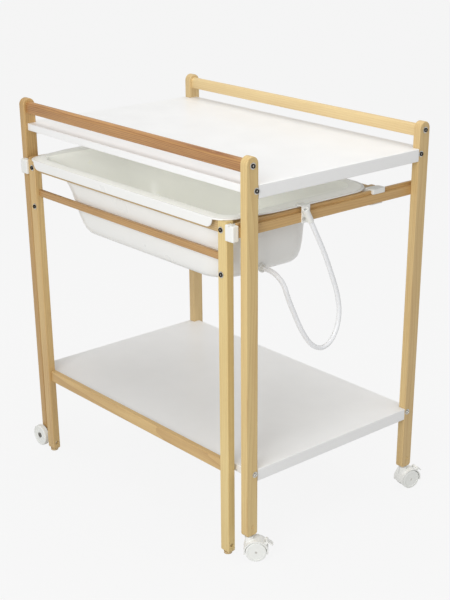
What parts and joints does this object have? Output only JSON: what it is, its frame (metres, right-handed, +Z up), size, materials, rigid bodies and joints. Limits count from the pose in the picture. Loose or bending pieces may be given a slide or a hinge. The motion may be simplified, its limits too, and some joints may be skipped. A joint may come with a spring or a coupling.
{
  "type": "changing table with bathtub",
  "caption": "Wooden changing table on wheels with a white changing board, a storage shelf and a bathtub on legs that slides out under the board.",
  "frame": {"origin": "on the floor, under the middle of the whole object", "axes": "+X along the table to the end with the swivel casters, -Y to the front, where the bath slides out, +Z up"},
  "size_m": [0.9194, 0.6355, 0.962],
  "materials": {
    "beech_wood": "clear lacquered solid wood, fine straight grain",
    "white_board": "white melamine-faced board, satin",
    "white_tub_plastic": "white moulded plastic, satin gloss",
    "drain_plastic": "pale grey moulded plastic",
    "hose_plastic": "smooth translucent grey vinyl",
    "white_fitting_plastic": "white moulded nylon",
    "caster_plastic": "pale grey-white moulded plastic",
    "wheel_plastic": "pale grey plastic",
    "dark_bolt_steel": "blackened steel",
    "bright_steel": "zinc-plated steel"
  },
  "bodies": {
    "frame": {"caster_stem_dowels": "bright_steel", "caster_stems": "bright_steel", "changing_panel": "white_board", "changing_panel_bolts": "dark_bolt_steel", "changing_strip_left": "white_board", "changing_strip_right": "white_board", "end_wheel_axles": "bright_steel", "end_wheel_nuts": "bright_steel", "end_wheel_spacers": "bright_steel", "front_glides": "white_fitting_plastic", "guide_rail_left": "beech_wood", "guide_rail_right": "beech_wood", "guide_rail_screws": "bright_steel", "hose_clip": "white_fitting_plastic", "hose_clip_screw": "bright_steel", "post_front_left": "beech_wood", "post_front_right": "beech_wood", "post_rear_left": "beech_wood", "post_rear_right": "beech_wood", "post_washers": "bright_steel", "shelf_bolts": "bright_steel", "shelf_panel": "white_board", "shelf_strip_left": "white_board", "shelf_strip_right": "white_board", "top_rail_bolts": "dark_bolt_steel", "top_rail_front": "beech_wood", "top_rail_rear": "beech_wood"},
    "bath_carriage": {"bath_leg_bolts": "bright_steel", "bath_leg_dowels": "bright_steel", "bath_leg_feet": "white_fitting_plastic", "bath_leg_left": "beech_wood", "bath_leg_right": "beech_wood", "bath_leg_washers": "bright_steel", "bathtub": "white_tub_plastic", "carriage_bottom_rail": "beech_wood", "carriage_rear_rail": "beech_wood", "carriage_side_bar_left": "beech_wood", "carriage_side_bar_right": "beech_wood", "carriage_top_rail": "beech_wood", "catch_left": "white_fitting_plastic", "catch_right": "white_fitting_plastic", "drain_hose": "hose_plastic", "drain_outlet": "drain_plastic", "drain_strainer": "drain_plastic", "slider_shoe_left": "white_fitting_plastic", "slider_shoe_right": "white_fitting_plastic", "towel_rail": "beech_wood"},
    "caster_front": {"caster_hood_front": "caster_plastic", "caster_axle_front": "bright_steel"},
    "caster_wheel_front_a": {"caster_wheel_front_a": "wheel_plastic"},
    "caster_wheel_front_b": {"caster_wheel_front_b": "wheel_plastic"},
    "caster_brake_front": {"caster_brake_front": "caster_plastic"},
    "end_wheel_front": {"end_wheel_front": "wheel_plastic"},
    "caster_rear": {"caster_hood_rear": "caster_plastic", "caster_axle_rear": "bright_steel"},
    "caster_wheel_rear_a": {"caster_wheel_rear_a": "wheel_plastic"},
    "caster_wheel_rear_b": {"caster_wheel_rear_b": "wheel_plastic"},
    "caster_brake_rear": {"caster_brake_rear": "caster_plastic"},
    "end_wheel_rear": {"end_wheel_rear": "wheel_plastic"}
  },
  "joints": [
    {"name": "bath_slide", "type": "slide", "parent": "frame", "child": "bath_carriage", "axis": [0, -1, 0], "range_m": [0, 0.34], "deforming": ["drain_hose"]},
    {"name": "caster_swivel_front", "type": "hinge", "parent": "frame", "child": "caster_front", "pos_m": [0.415, -0.277, 0.06], "axis": [0, 0, 1], "range_deg": [-160, 115]},
    {"name": "caster_wheel_spin_front_a", "type": "hinge", "parent": "caster_front", "child": "caster_wheel_front_a", "pos_m": [0.42571, -0.26511, 0.025], "axis": [-0.7431, 0.6691, 0], "continuous": true},
    {"name": "caster_wheel_spin_front_b", "type": "hinge", "parent": "caster_front", "child": "caster_wheel_front_b", "pos_m": [0.42571, -0.26511, 0.025], "axis": [-0.7431, 0.6691, 0], "continuous": true},
    {"name": "caster_brake_press_front", "type": "hinge", "parent": "caster_front", "child": "caster_brake_front", "pos_m": [0.44301, -0.24589, 0.04829], "axis": [-0.7431, 0.6691, 0], "range_deg": [0, 15]},
    {"name": "end_wheel_spin_front", "type": "hinge", "parent": "frame", "child": "end_wheel_front", "pos_m": [-0.431, -0.305, 0.029], "axis": [0, 1, 0], "continuous": true},
    {"name": "caster_swivel_rear", "type": "hinge", "parent": "frame", "child": "caster_rear", "pos_m": [0.415, 0.261, 0.06], "axis": [0, 0, 1], "continuous": true},
    {"name": "caster_wheel_spin_rear_a", "type": "hinge", "parent": "caster_rear", "child": "caster_wheel_rear_a", "pos_m": [0.41833, 0.27665, 0.025], "axis": [-0.9781, 0.2079, 0], "continuous": true},
    {"name": "caster_wheel_spin_rear_b", "type": "hinge", "parent": "caster_rear", "child": "caster_wheel_rear_b", "pos_m": [0.41833, 0.27665, 0.025], "axis": [-0.9781, 0.2079, 0], "continuous": true},
    {"name": "caster_brake_press_rear", "type": "hinge", "parent": "caster_rear", "child": "caster_brake_rear", "pos_m": [0.4237, 0.30195, 0.04829], "axis": [-0.9781, 0.2079, 0], "range_deg": [0, 15]},
    {"name": "end_wheel_spin_rear", "type": "hinge", "parent": "frame", "child": "end_wheel_rear", "pos_m": [-0.431, 0.289, 0.029], "axis": [0, 1, 0], "continuous": true}
  ]
}
